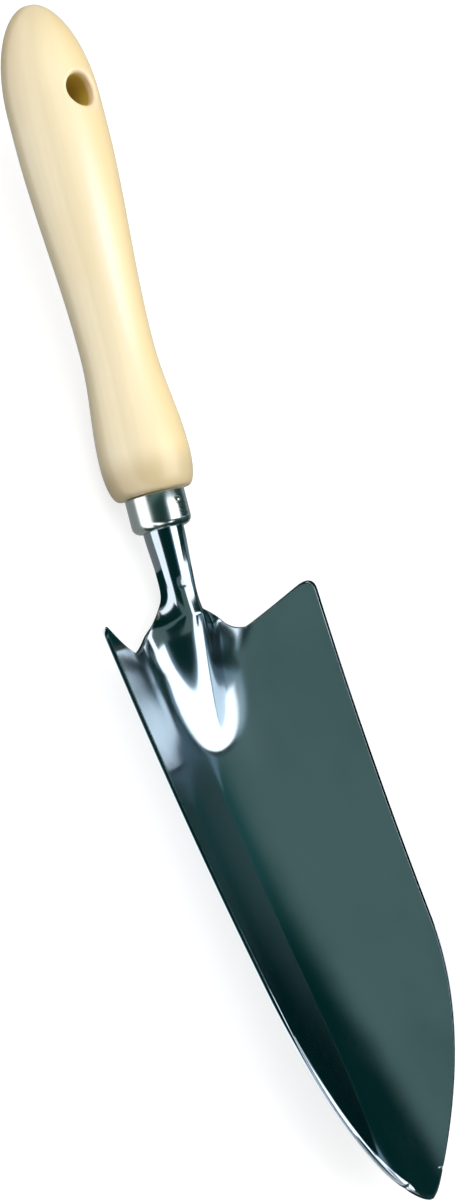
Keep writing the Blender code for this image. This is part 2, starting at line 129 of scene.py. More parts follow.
RIDGE_ROOT_HALF_WIDTH = 28.0 * MM
RIDGE_ROOT_LENGTH = 14.0 * MM
RIDGE_HALF_WIDTH = 21.0 * MM
RIDGE_END_LENGTH = 26.0 * MM
RIDGE_FOOT_BEYOND = 2.0 * MM
RIDGE_LEAST_FOOT = 0.1 * MM
RIDGE_LEAST_SHARE = 0.01

# Edge of the sheet, with a narrow bevel along the -y side of the point
RIM_BULGE = 0.3 * MM
RIM_SQUARENESS = 0.6
BEVEL_DEPTH = 0.85 * MM
BEVEL_WIDTH = 1.0 * MM
BEVEL_START = 135.0 * MM
BEVEL_RUN = 35.0 * MM
BEVEL_FADE_START = -4.0 * MM
BEVEL_FADE = 8.0 * MM

# Small round mark pressed into the neck, where it is fixed to the bar inside
MARK_STATION = 26.0 * MM
MARK_ANGLE = math.radians(-24.0)
MARK_RADIUS = 1.9 * MM
MARK_DEPTH = 0.22 * MM
MARK_HOLLOW_WIDTH = 0.625
MARK_RING_PLACE = 1.05
MARK_RING_WIDTH = 0.25
MARK_RING_SHARE = 0.25

# Grid of the blade, whose rows run ahead in their middles and whose columns crowd over the ridge
NECK_ROWS = 14
TURN_ROWS = 46
RISE_ROWS = 22
CORNER_ROWS = 10
SIDE_ROWS = 104
RIM_ROWS = 7
HALF_COLUMNS = 84
MIDDLE_AHEAD_AT_LOW = 7.0 * MM
MIDDLE_AHEAD_AT_CORNER = 18.0 * MM
ROW_BEND = 1.45
SIDE_ROW_POWER = 1.25
SIDE_ROW_EASE = 0.45
LAST_ROW_BACK = 5.5 * MM
RIDGE_COLUMN_SHARE = 0.5
RIDGE_COLUMN_CLOSENESS = 0.75

# Camera, found from the outline in the photograph, with its angles in the tool's own frame
VIEW_ROLL = math.radians(45.13)
VIEW_LEAN = math.radians(1.5)
VIEW_TURN = math.radians(14.55)
VIEW_PIXELS_PER_MM = 3.632
VIEW_AIM_X = 33.61 * MM
VIEW_AIM_SIDE = 12.78 * MM
VIEW_DISTANCE = 600.0 * MM
PHOTO_HEIGHT = 1200.0
SENSOR_HEIGHT = 36.0

# Wood, with the pith that its growth rings run round
PITH_Y = -31.0 * MM
PITH_Z = -47.0 * MM
RINGS_PER_METRE = 420.0
RING_WARP = 6.0 * MM
RING_SLANT = 0.012
LATE_START = 0.35
LATE_FULL = 0.93
PALE_WOOD = (0.930, 0.810, 0.545, 1.0)
WARM_WOOD = (0.905, 0.745, 0.445, 1.0)
DEEP_WOOD = (0.810, 0.620, 0.340, 1.0)
# Painted highlight: the pale tone of a soft sheen on the handle's upper side
PAINTED_HIGHLIGHT_WOOD = (0.950, 0.880, 0.710, 1.0)
# Painted shading: a yellower tone on the side that faces +y and +z
PAINTED_SIDE_YELLOW = (0.895, 0.700, 0.375, 1.0)
# End grain at the butt, and painted shade there and at the shoulder
END_GRAIN_AND_SHADE = (0.700, 0.560, 0.320, 1.0)
LIP_WOOD = (0.920, 0.720, 0.460, 1.0)
# Bare wood in the hanging hole, painted darker as shade in the bore
BARE_WOOD_AND_SHADE = (0.560, 0.400, 0.060, 1.0)

# Grains of the wood and the steel, to a metre along each axis
WARP_GRAINS = (9.0, 60.0, 60.0)
FIBRE_GRAINS = (45.0, 1500.0, 1500.0)
CLOUD_GRAINS = (30.0, 70.0, 70.0)
FLECK_GRAINS = (260.0, 2600.0, 2600.0)
LINE_GRAINS = (30.0, 2400.0, 2400.0)
HAZE_GRAINS = (40.0, 60.0, 60.0)
WAVE_GRAINS = (55.0, 55.0, 55.0)

# Tones of the wood, painted highlight and shade among them, each with the range over which it comes in and
# its share in the colour
LATE_SHARE = 0.28
FIBRE_SHARE = 0.45
CLOUD_BAND = (0.42, 0.70)
CLOUD_SHARE = 0.5
# Painted shading: the side away from the pith, which faces +y and +z, is warmer
SHADING_AWAY_FROM_PITH = (56.0 * MM, 67.0 * MM)
SHADING_AWAY_FROM_PITH_SHARE = 0.85
FLECK_BAND = (0.66, 0.76)
FLECK_SHARE = 0.18
# Painted highlight: a pale band round the handle and along it
PAINTED_HIGHLIGHT_STATION = 68.0 * MM
PAINTED_HIGHLIGHT_LENGTH = 30.0 * MM
PAINTED_HIGHLIGHT_SIDE = 0.42
PAINTED_HIGHLIGHT_WIDTH = 0.20
PAINTED_HIGHLIGHT_SHARE = 0.8
# Painted shading: the side that faces +y and +z turns yellower
PAINTED_SIDE_RANGE = (0.45, 0.85)
# End grain and painted shade at the butt, more painted shade on its -y and -z side, painted shade at the
# shoulder
BUTT_TONE = (118.0 * MM, 139.0 * MM)
BUTT_SHARE = 0.5
SHADE_TONE = (100.0 * MM, 128.0 * MM)
SHADE_SIDE = (-0.9, -0.1)
SHADE_SHARE = 0.8
SHOULDER_SHADE = (-13.0 * MM, -4.0 * MM)

# Tones of the hanging hole, in shares of its radius, but their depth in shares of the butt's
LIP_TONE = (1.35, 1.60)
LIP_SIDE = (-0.6, 0.9)
# The bare wood inside the hole is painted darker as shade
BARE_AND_SHADE_TONE = (1.02, 1.10)
BARE_AND_SHADE_DEPTH = (0.76, 0.88)

# Relief and gloss of the wood and its lacquer
WOOD_RELIEF = 0.03 * MM
LATE_RELIEF = 0.4
WOOD_ROUGHNESS = 0.40
FIBRE_ROUGHNESS = 0.12
BARE_ROUGHNESS = 0.3
LACQUER = 0.55
LACQUER_LOST = 0.5

# Metals: the colour of each and the roughness of its polish, then the relief and haze of all
PLATED_COLOUR = (0.58, 0.62, 0.62, 1.0)
PLATED_POLISH = 0.19
STAINLESS_COLOUR = (0.38, 0.44, 0.49, 1.0)
STAINLESS_POLISH = 0.09
BAR_COLOUR = (0.5, 0.51, 0.51, 1.0)
BAR_POLISH = 0.3
WAVE_RELIEF = 0.06 * MM
LINE_RELIEF = 0.004 * MM
LINE_ROUGHNESS = 0.03
HAZE_BAND = (0.35, 0.7)
HAZE_TONE = 0.94
ROUGH_HAZE_BAND = (0.4, 0.75)
HAZE_ROUGHNESS = 0.03
DULLER_RUN = 20.0 * MM
DULLER_SHARE = 0.4
BRIGHTER_RUN = 15.0 * MM
BRIGHTER_SHARE = 0.9

# Studio, where the overhead box's corners are given as their reach over its height
BOX_HEIGHT = 4.0
BOX_LOW = (-0.03, -0.05)
BOX_HIGH = (0.66, 2.0)
BOX_BRIGHTNESS = 2.7
KEY_LAMP_SIZE = 2.0
KEY_LAMP_DISTANCE = 3.0
KEY_LAMP_BRIGHTNESS = 0.50
KEY_LAMP_DIRECTION = (-0.4, -0.4, 0.82)
WORLD_BRIGHTNESS = 0.52
FLOOR_REACH = 4.0
FLOOR_GLOW = 0.76
CARD_HEIGHT = 0.2 * MM
CARD_EDGE = -23.0 * MM
GREY_CARD_END = -12.0 * MM
CARD_REACH = 0.6
CARD_NEAR = -0.7
CARD_FAR = 1.2
BRIGHT_CARD_BRIGHTNESS = 2.2
WHITE = (1.0, 1.0, 1.0, 1.0)
FLOOR_GREY = (0.33, 0.33, 0.33, 1.0)
CARD_GREY = (0.31, 0.34, 0.33, 1.0)
FLAG_GREY = (0.16, 0.245, 0.22, 1.0)
DARK_TEAL = (0.001, 0.034, 0.031, 1.0)
PALE_BLUE = (0.25, 0.40, 0.47, 1.0)
PANEL_GREY = (0.150, 0.250, 0.228, 1.0)
PANEL_TEAL = (0.035, 0.135, 0.125, 1.0)
HALO_BLUE = (0.50, 0.78, 0.84, 1.0)
NEAR_WALL_WHITE = (2.3, 2.3, 2.3, 1.0)
FAR_WALL_TEAL = (0.10, 0.19, 0.19, 1.0)

# Glow of the tent: the panel, rim and halo by reach over height, the two walls by shares of its radius
TENT_RADIUS = 12.0
LEAST_HEIGHT = 0.01
PANEL_REACH = 3.0
PANEL_EDGE = -0.133
PANEL_EDGE_SLANT = -0.050
PANEL_SOFTNESS = 0.030
PANEL_SOFTNESS_SLANT = 0.03
PANEL_END = (0.42, 0.55)
PANEL_SHADE = (0.3, 1.9)
RIM_START = (-0.05, 0.02)
RIM_END = (0.62, 0.80)
RIM_SIDE = (-0.26, -0.08)
HALO_ALONG = -0.085
HALO_ACROSS = 0.22
HALO_TIGHTNESS_ALONG = 22.0
HALO_TIGHTNESS_ACROSS = 6.0
NEAR_TOP = 0.22
NEAR_CLIMB = 0.19
NEAR_CLIMB_RUN = (0.20, 0.75)
NEAR_BAND = (-0.03, 0.06)
NEAR_SIDE = (0.15, 0.40)
FAR_BAND = (0.07, 0.34)
FAR_SIDE = (-0.05, 0.1)
FAR_END = (-0.11, -0.04)
FAR_SHARE = 0.9

# Flags over the tool, by the x and y of their corners in mm
FLAG_HEIGHT = 50.0 * MM
LOW_FLAG_HEIGHT = 26.0 * MM
WALL_FLAG_HEIGHT = 30.0 * MM
PALE_FLAG_ABOVE = 1.0 * MM
PALE_FLAG = ((12.0, 25.0), (19.5, 25.0), (26.0, 58.0), (34.0, 100.0), (14.0, 100.0))
DISH_FLAG = ((10.0, 24.0), (14.0, 24.0), (18.0, 60.0), (19.5, 100.0), (10.0, 100.0))
WALL_FLAG = ((8.0, 4.0), (15.0, 4.0), (15.5, 12.5), (8.0, 12.5))
NECK_FLAG = ((-42.0, 24.0), (-4.0, 24.0), (-4.0, 140.0), (-42.0, 140.0))
SHOULDER_FLAG = ((-4.0, -14.5), (14.5, -14.5), (14.5, -4.0), (-4.0, -4.0))
CREST_CARD = ((-5.0, -3.5), (14.0, -3.5), (14.0, 3.0), (-5.0, 3.0))


def tool_matrix():
    """The tool's own frame as it lies in the world."""
    return Matrix.Translation(REST_PLACE) @ Matrix.Rotation(REST_TILT, 4, "Y")


def to_world(points):
    """Points of the tool's own frame, carried to where the tool lies."""
    place = np.array(tool_matrix())
    return points @ place[:3, :3].T + place[:3, 3]


def smooth_step(t):
    """Ease from 0 to 1 with level ends: 3 t^2 - 2 t^3."""
    t = np.clip(t, 0.0, 1.0)
    return t * t * (3.0 - 2.0 * t)


def unit(vectors):
    """The same directions with length 1."""
    return vectors / np.maximum(np.linalg.norm(vectors, axis=-1, keepdims=True), 1e-12)


def make_camera():
    """The camera looks along the line that leans VIEW_LEAN off square to the handle and is rolled
    VIEW_ROLL about it, with the handle's axis turned VIEW_TURN in the picture."""
    up = Vector((0.0, -math.sin(VIEW_ROLL), math.cos(VIEW_ROLL)))
    side = Vector((0.0, math.cos(VIEW_ROLL), math.sin(VIEW_ROLL)))
    along = Vector((1.0, 0.0, 0.0))
    towards = along * math.sin(VIEW_LEAN) + up * math.cos(VIEW_LEAN)
    lengthwise = along * math.cos(VIEW_LEAN) - up * math.sin(VIEW_LEAN)
    right = lengthwise * math.sin(VIEW_TURN) + side * math.cos(VIEW_TURN)
    down = lengthwise * math.cos(VIEW_TURN) - side * math.sin(VIEW_TURN)
    pose = Matrix((right, -down, towards)).transposed().to_4x4()
    pose.translation = along * VIEW_AIM_X + side * VIEW_AIM_SIDE + towards * VIEW_DISTANCE
    camera = bpy.data.objects.new("camera", bpy.data.cameras.new("camera"))
    bpy.context.scene.collection.objects.link(camera)
    camera.matrix_world = tool_matrix() @ pose
    camera.data.sensor_fit = "VERTICAL"
    camera.data.sensor_height = SENSOR_HEIGHT
    camera.data.lens = VIEW_PIXELS_PER_MM * VIEW_DISTANCE / MM * SENSOR_HEIGHT / PHOTO_HEIGHT
    camera.data.clip_start = 0.01
    bpy.context.scene.camera = camera


def mesh_object(name, points, faces, smooth=True):
    """A piece from world points and rows of corners. A corner that is repeated in a row counts once."""
    corners = [list(dict.fromkeys(row)) for row in np.asarray(faces).tolist()]
    mesh = bpy.data.meshes.new(name)
    mesh.from_pydata(points.tolist(), [], corners)
    mesh.validate()
    if smooth:
        mesh.shade_smooth()
    thing = bpy.data.objects.new(name, mesh)
    bpy.context.scene.collection.objects.link(thing)
    return thing


def grid_faces(index):
    """Quads between neighbouring entries of a grid of vertex numbers."""
    quads = np.stack([index[:-1, :-1], index[1:, :-1], index[1:, 1:], index[:-1, 1:]], axis=-1)
    return quads.reshape(-1, 4)


def closed(index):
    """A grid of vertex numbers whose columns close to a ring: the first one comes again at the end."""
    return np.concatenate([index, index[:, :1]], axis=1)


def fan(pole, start, end):
    """Triangles from a pole to the edges that run from start to end."""
    return np.stack([np.full(len(start), pole), start, end, end], axis=1)


def turned_points(profile, steps):
    """A profile of (x, radius) pairs turned about the x axis: rows along the profile, columns round it."""
    angle = np.arange(steps) / steps * math.tau
    x, radius = profile[:, :1], profile[:, 1:]
    return np.stack([x + 0.0 * angle, radius * np.sin(angle), radius * np.cos(angle)], axis=-1)


def quarter(start, finish, leaves_along, rows):
    """A quarter ellipse of (x, radius) pairs from start to finish. It leaves along x if leaves_along
    is "x", and square to x if it is "r"."""
    angle = np.linspace(0.0, math.pi / 2.0, rows)[:, None]
    start, finish = np.array(start), np.array(finish)
    early, late = np.sin(angle), 1.0 - np.cos(angle)
    share = np.concatenate([early, late] if leaves_along == "x" else [late, early], axis=1)
    return start + (finish - start) * share


def handle_radius(station):
    """Radius of the wood at a station behind the ferrule: an elliptical dome, a straight stretch,
    a half cosine wave down to the waist, another up to the front swell, and a quarter ellipse."""
    dome_start = HANDLE_LENGTH - DOME_LENGTH
    dome = BUTT_SWELL_RADIUS * np.sqrt(np.clip(1.0 - ((station - dome_start) / DOME_LENGTH) ** 2, 0.0, 1.0))
    back_share = np.clip((station - WAIST_STATION) / (BUTT_SWELL_STATION - WAIST_STATION), 0.0, 1.0)
    front_share = np.clip((WAIST_STATION - station) / (WAIST_STATION - FRONT_SWELL_STATION), 0.0, 1.0)
    back = (BUTT_SWELL_RADIUS - WAIST_RADIUS) * (0.5 - 0.5 * np.cos(math.pi * back_share))
    front = (FRONT_SWELL_RADIUS - WAIST_RADIUS) * (0.5 - 0.5 * np.cos(math.pi * front_share))
    body = WAIST_RADIUS + back + front
    reach = np.clip((FRONT_SWELL_STATION - station) / FRONT_SWELL_STATION, 0.0, 1.0)
    drop = FRONT_SWELL_RADIUS - FRONT_SHOULDER_RADIUS
    shoulder = FRONT_SHOULDER_RADIUS + drop * np.sqrt(1.0 - reach ** 2)
    radius = np.where(station < FRONT_SWELL_STATION, shoulder, body)
    return np.where(station > dome_start, dome, radius)


def wood_surface(x, y):
    """Height of the wood's upper skin over a place in the x-y plane: a circle of the handle's radius."""
    radius = handle_radius(-x)
    return np.sqrt(np.maximum(radius ** 2 - y ** 2, 0.0))


def handle_rows():
    """Stations of the handle's rows from butt to shoulder, even along the skin at both round ends,
    and the window's first row and number of rows.

    The window's rows stand evenly on both sides of the hole, so that it is square to the hole."""
    dome_rows, window_rows, body_rows, shoulder_rows = 26, 33, 90, 22
    dome_start = HANDLE_LENGTH - DOME_LENGTH
    high = HOLE_STATION + HALF_WINDOW_LENGTH
    low = HOLE_STATION - HALF_WINDOW_LENGTH
    flat_angle = math.asin(BUTT_FLAT_RADIUS / BUTT_SWELL_RADIUS)
    top_angle = math.acos((high - dome_start) / DOME_LENGTH)
    dome = dome_start + DOME_LENGTH * np.cos(np.linspace(flat_angle, top_angle, dome_rows))
    window = np.linspace(high, low, window_rows)
    body = np.linspace(low, FRONT_SWELL_STATION, body_rows)
    shoulder = FRONT_SWELL_STATION * (1.0 - np.sin(np.linspace(0.0, math.pi / 2.0, shoulder_rows)))
    stations = np.concatenate([dome, window[1:], body[1:], shoulder[1:]])
    return stations, dome_rows - 1, window_rows - 1


def handle_profile(stations):
    """The grip's (x, radius) pairs: its skin, the rounded front edge, and the spigot with the socket
    that the neck's end sits in."""
    skin = np.stack([-stations, handle_radius(stations)], axis=1)
    inside_edge = FRONT_SHOULDER_RADIUS - FRONT_EDGE_ROUND
    edge = quarter((-FRONT_EDGE_ROUND, FRONT_SHOULDER_RADIUS), (0.0, inside_edge), "x", 5)
    socket = NECK_RADIUS + NECK_PLAY
    spigot = np.array([
        [0.0, SPIGOT_RADIUS],
        [SPIGOT_LENGTH, SPIGOT_RADIUS],
        [SPIGOT_LENGTH, socket],
        [SPIGOT_LENGTH - NECK_SEAT, socket],
    ])
    return np.concatenate([skin[:-1], edge, spigot])


def make_handle():
    """The turned grip: its profile turned about x, with a window left out above and below, and the
    hanging hole carried from the upper window over a rounded lip, through the wood and out again."""
    stations, first, count = handle_rows()
    profile = handle_profile(stations)
    flat = turned_points(profile, HANDLE_STEPS).reshape(-1, 3)
    index = np.arange(len(flat)).reshape(-1, HANDLE_STEPS)
    ring = closed(index)
    faces = np.stack([ring[:-1, :-1], ring[:-1, 1:], ring[1:, 1:], ring[1:, :-1]], axis=-1)
    keep = np.ones(faces.shape[:2], dtype=bool)
    rows = slice(first, first + count)
    columns = np.arange(-HALF_WINDOW_STEPS, HALF_WINDOW_STEPS)
    keep[rows, columns % HANDLE_STEPS] = False
    keep[rows, (columns + HANDLE_STEPS // 2) % HANDLE_STEPS] = False
    tube, tube_faces = hole_surface(index, flat, first, count)
    poles = np.array([[profile[0, 0], 0.0, 0.0], [profile[-1, 0], 0.0, 0.0]])
    butt_pole = len(flat) + len(tube)
    butt_fan = fan(butt_pole, ring[0, 1:], ring[0, :-1])
    seat_fan = fan(butt_pole + 1, ring[-1, :-1], ring[-1, 1:])
    handle = mesh_object("wooden_grip", to_world(np.concatenate([flat, tube, poles])),
                         np.concatenate([faces[keep], tube_faces, butt_fan, seat_fan]))
    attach(handle, "root")
    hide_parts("handle")
    return handle


def window_loop(index, first, count, columns):
    """Vertex numbers round one window, from its corner at the butt end in the first of the columns.
    With the upper window's columns they run counter-clockwise as seen from above, and with the
    lower one's, which run the other way round the handle, through the same places under it."""
    rows = np.arange(first, first + count + 1)
    out = index[rows, columns[0]]
    end = index[rows[-1], columns]
    back = index[rows[::-1], columns[-1]]
    start = index[rows[0], columns[::-1]]
    return np.concatenate([out[:-1], end[:-1], back[:-1], start[:-1]])


def hole_surface(index, flat, first, count):
    """The hanging hole as one surface. Round it runs the angle; down it run the skin between the
    window's edge and the lip, a quarter-ellipse lip, the bore, and the same again below."""
    skin_rows, lip_rows, bore_rows = 10, 12, 14
    across = np.arange(-HALF_WINDOW_STEPS, HALF_WINDOW_STEPS + 1)
    upper = window_loop(index, first, count, across % HANDLE_STEPS)
    lower = window_loop(index, first, count, (HANDLE_STEPS // 2 - across) % HANDLE_STEPS)
    edge = flat[upper]
    centre_x = -HOLE_STATION
    angle = np.arctan2(edge[:, 1], edge[:, 0] - centre_x)
    lip_start = HOLE_RADIUS + HOLE_LIP
    rim = np.stack([centre_x + lip_start * np.cos(angle), lip_start * np.sin(angle)], axis=1)
    skin_share = np.linspace(0.0, 1.0, skin_rows)[1:-1, None, None]
    skin_place = edge[None, :, :2] * (1.0 - skin_share) + rim[None] * skin_share
    skin_height = wood_surface(skin_place[..., 0], skin_place[..., 1])
    turn = np.linspace(0.0, math.pi / 2.0, lip_rows)[:, None]
    reach = HOLE_RADIUS + HOLE_LIP * (1.0 - np.sin(turn))
    lip_x = centre_x + reach * np.cos(angle)
    lip_y = reach * np.sin(angle)
    lip_height = wood_surface(lip_x, lip_y) - HOLE_LIP_DEPTH * (1.0 - np.cos(turn))
    bore_height = lip_height[-1] * np.linspace(1.0, -1.0, bore_rows)[1:-1, None]
    bore_x = np.broadcast_to(lip_x[-1], bore_height.shape)
    bore_y = np.broadcast_to(lip_y[-1], bore_height.shape)
    top = np.concatenate([
        np.stack([skin_place[..., 0], skin_place[..., 1], skin_height], axis=-1),
        np.stack([lip_x, lip_y, lip_height], axis=-1),
    ])
    bore = np.stack([bore_x, bore_y, bore_height], axis=-1)
    bottom = top[::-1] * np.array([1.0, 1.0, -1.0])
    rings = np.concatenate([top, bore, bottom])
    inner = len(flat) + np.arange(rings.shape[0] * rings.shape[1]).reshape(rings.shape[:2])
    numbers = np.concatenate([upper[None], inner, lower[None]])
    return rings.reshape(-1, 3), grid_faces(closed(numbers))


def ferrule_profile():
    """The drawn cup's closed section as (x, radius) pairs: a slightly rolled lip at the wood, the
    outer wall, a round outer corner, the pierced end with an eased edge, and the inside with its
    own corner. Lip, corners and eased edge are quarter ellipses."""
    inner = FERRULE_RADIUS - FERRULE_WALL
    hole = NECK_RADIUS + FERRULE_PLAY
    lip_end = FERRULE_START + FERRULE_LIP_LENGTH
    lip = quarter((FERRULE_START, inner + FERRULE_LIP_FLAT), (lip_end, FERRULE_RADIUS), "r", 6)
    wall = np.array([[FERRULE_WALL_MIDDLE, FERRULE_RADIUS]])
    corner_start = (FERRULE_LENGTH - FERRULE_CORNER, FERRULE_RADIUS)
    corner = quarter(corner_start, (FERRULE_LENGTH, FERRULE_RADIUS - FERRULE_CORNER), "x", 20)
    corner = corner[corner[:, 1] > hole + FERRULE_END_RING]
    eased_start = (FERRULE_LENGTH, hole + FERRULE_EASED_EDGE)
    eased = quarter(eased_start, (FERRULE_LENGTH - FERRULE_EASED_EDGE, hole), "r", 5)
    end = FERRULE_LENGTH - FERRULE_WALL
    inner_corner = FERRULE_CORNER - FERRULE_WALL
    back = np.array([[end, hole], [end, inner - inner_corner]])
    inside = quarter((end, inner - inner_corner), (end - inner_corner, inner), "r", 8)
    mouth = np.array([[FERRULE_START, inner]])
    return np.concatenate([lip, wall, corner, eased, back, inside[1:], mouth])


def make_ferrule():
    """The drawn cup: its closed section turned about the handle's axis."""
    steps = 160
    points = turned_points(ferrule_profile(), steps).reshape(-1, 3)
    ring = closed(np.arange(len(points)).reshape(-1, steps))
    ring = np.concatenate([ring, ring[:1]])
    ferrule = mesh_object("ferrule_cup", to_world(points), grid_faces(ring)[:, ::-1])
    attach(ferrule, "root")
    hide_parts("ferrule")
    return ferrule


def make_pin():
    """The pin's domed head: half an ellipse turned about the pin's own upright axis, with a short
    closed shank below it."""
    rows, steps = 14, 48
    angle = np.linspace(0.0, math.pi / 2.0, rows)[1:, None]
    around = np.arange(steps) / steps * math.tau
    radius = PIN_HEAD_RADIUS * np.sin(angle)
    height = PIN_HEAD_SEAT - PIN_HEAD_SINK + (PIN_HEAD_HEIGHT + PIN_HEAD_SINK) * np.cos(angle)
    dome = np.stack([radius * np.cos(around), radius * np.sin(around), height + 0.0 * around], axis=-1)
    foot = dome[-1:] * np.array([PIN_SHANK_SHARE, PIN_SHANK_SHARE, 1.0])
    shank = foot - np.array([0.0, 0.0, PIN_SHANK_LENGTH])
    rings = np.concatenate([dome, foot, shank])
    rings[..., 0] += PIN_STATION
    points = rings.reshape(-1, 3)
    top = [PIN_STATION, 0.0, PIN_HEAD_SEAT + PIN_HEAD_HEIGHT]
    low = [PIN_STATION, 0.0, shank[0, 0, 2]]
    ring = closed(np.arange(len(points)).reshape(-1, steps))
    cap = fan(len(points), ring[0, :-1], ring[0, 1:])
    base = fan(len(points) + 1, ring[-1, 1:], ring[-1, :-1])
    pin = mesh_object("ferrule_nail", to_world(np.concatenate([points, [top, low]])),
                      np.concatenate([grid_faces(ring), cap, base]))
    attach(pin, "root")
    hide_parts("ferrule_pin")
    return pin


def valley_height(x):
    """Height of the dish's lowest line: a slope that bows gently upward."""
    ahead = x - VALLEY_STATION
    return ahead * math.tan(VALLEY_ANGLE) + ahead ** 2 / (2.0 * VALLEY_BOW_RADIUS)


def dish_height(x, y):
    """Hollow face of the plain dish: across the blade a hyperbola, which runs out to both walls."""
    wall = math.tan(WALL_ANGLE) * y
    return valley_height(x) + np.sqrt(VALLEY_ROUNDING ** 2 + wall ** 2) - VALLEY_ROUNDING


def ridge_height(x, y):
    """Extra height of the ridge: its crest falls evenly to its end, the curve 1 / (1 + t^2) across it
    gives it a round top and hollow flanks, and a squared parabola ends it at its foot."""
    share = np.clip((x - RIDGE_START) / (RIDGE_END - RIDGE_START), 0.0, 1.0)
    top = RIDGE_CREST_HEIGHT - valley_height(RIDGE_START)
    crest = top * (1.0 - share)
    foot_end = RIDGE_END + RIDGE_FOOT_BEYOND
    into_end = np.clip((x - foot_end) / RIDGE_END_LENGTH + 1.0, 0.0, 1.0)
    root = 1.0 - smooth_step((x - RIDGE_START) / RIDGE_ROOT_LENGTH)
    foot = RIDGE_HALF_WIDTH * np.sqrt(1.0 - into_end ** 2) + RIDGE_LEAST_FOOT
    foot = foot + (RIDGE_ROOT_HALF_WIDTH - RIDGE_HALF_WIDTH) * root
    left = np.maximum(1.0 - share, RIDGE_LEAST_SHARE)
    tightness = np.sqrt(2.0 * top * RIDGE_CREST_RADIUS * left ** RIDGE_NARROWING_POWER)
    across = np.minimum(np.abs(y) / foot, 1.0)
    return crest * (1.0 - across ** 2) ** 2 / (1.0 + (y / tightness) ** 2)


def side_half_width(x):
    """Half width of the blade: straight tapering sides times a rounded point."""
    straight = CORNER_HALF_WIDTH - SIDE_TAPER * (x - CORNER_STATION)
    into_point = np.clip((x - (TIP_STATION - POINT_LENGTH)) / POINT_LENGTH, 0.0, 1.0)
    return straight * (1.0 - into_point ** 2) ** POINT_POWER


def neck_rows():
    """Rows of the rolled neck, which run square to it."""
    x = np.linspace(NECK_END, FLARE_STATION, NECK_ROWS, endpoint=False)
    return np.stack([x, x, np.full(NECK_ROWS, SHOULDER_ROOT_HALF_WIDTH)])


def turn_rows():
    """Rows that end on the quarter ellipse from the neck out to the shoulder."""
    share = np.arange(TURN_ROWS) / TURN_ROWS
    angle = math.pi / 2.0 * share
    x = FLARE_STATION + (SHOULDER_LOW_STATION - FLARE_STATION) * np.sin(angle)
    y = SHOULDER_LOW_HALF_WIDTH - (SHOULDER_LOW_HALF_WIDTH - SHOULDER_ROOT_HALF_WIDTH) * np.cos(angle)
    return np.stack([x + MIDDLE_AHEAD_AT_LOW * share ** 2, x, y])


def rise_rows():
    """Rows that end on the gentle power curve from the shoulder up towards the corner."""
    width = CORNER_HALF_WIDTH - SHOULDER_LOW_HALF_WIDTH
    share = np.linspace(0.0, 1.0, RISE_ROWS + 1)
    along = share * (1.0 - CORNER_ROUND / width)
    x = SHOULDER_LOW_STATION - (SHOULDER_LOW_STATION - CORNER_STATION) * along ** SHOULDER_RISE_POWER
    ahead = MIDDLE_AHEAD_AT_LOW + (MIDDLE_AHEAD_AT_CORNER - MIDDLE_AHEAD_AT_LOW) * share
    return np.stack([SHOULDER_LOW_STATION + ahead, x, SHOULDER_LOW_HALF_WIDTH + width * along])


def corner_rows(start_x, start_y):
    """Rows that end on the parabola round the corner, from the end of the rise to the side."""
    end_x = CORNER_STATION + CORNER_ROUND
    share = np.arange(1, CORNER_ROWS + 1) / (CORNER_ROWS + 1)
    first, second, third = (1.0 - share) ** 2, 2.0 * share * (1.0 - share), share ** 2
    x = start_x * first + CORNER_STATION * second + end_x * third
    y = start_y * first + CORNER_HALF_WIDTH * second + side_half_width(end_x) * third
    middle = SHOULDER_LOW_STATION + MIDDLE_AHEAD_AT_CORNER + CORNER_ROUND / 2.0 * share
    return np.stack([middle, x, y])


def side_rows():
    """Rows that end on the side and point of the blade, closer together towards the tip. Their
    middles start ahead, fall in line with their ends and run ahead again at the tip."""
    start = CORNER_STATION + CORNER_ROUND
    share = np.linspace(0.0, 1.0, SIDE_ROWS + 1)
    x = start + (TIP_STATION - LAST_ROW_BACK - start) * (1.0 - (1.0 - share) ** SIDE_ROW_POWER)
    first_ahead = SHOULDER_LOW_STATION + MIDDLE_AHEAD_AT_CORNER + CORNER_ROUND / 2.0 - start
    ahead = first_ahead * (1.0 - smooth_step(share / SIDE_ROW_EASE))
    ahead = ahead + LAST_ROW_BACK * smooth_step((share - 1.0 + SIDE_ROW_EASE) / SIDE_ROW_EASE)
    return np.stack([x + ahead, x, side_half_width(x)])


def blade_rows():
    """Middle station, end station and half width of every row from neck to tip, as three arrays."""
    rise = rise_rows()
    corner = corner_rows(rise[1, -1], rise[2, -1])
    return np.concatenate([neck_rows(), turn_rows(), rise, corner, side_rows()], axis=1)


def spread_columns(half_width):
    """The columns as shares from -1 to 1, and their places across each row: even over the ridge and
    even over both wings."""
    across = np.linspace(-1.0, 1.0, 2 * HALF_COLUMNS + 1)
    size = np.abs(across)
    ridge = np.minimum(size / RIDGE_COLUMN_SHARE, 1.0)
    wing = np.clip((size - RIDGE_COLUMN_SHARE) / (1.0 - RIDGE_COLUMN_SHARE), 0.0, 1.0)
    inner = half_width * RIDGE_COLUMN_SHARE * RIDGE_COLUMN_CLOSENESS
    return across, np.sign(across) * (inner * ridge + (half_width - inner) * wing)


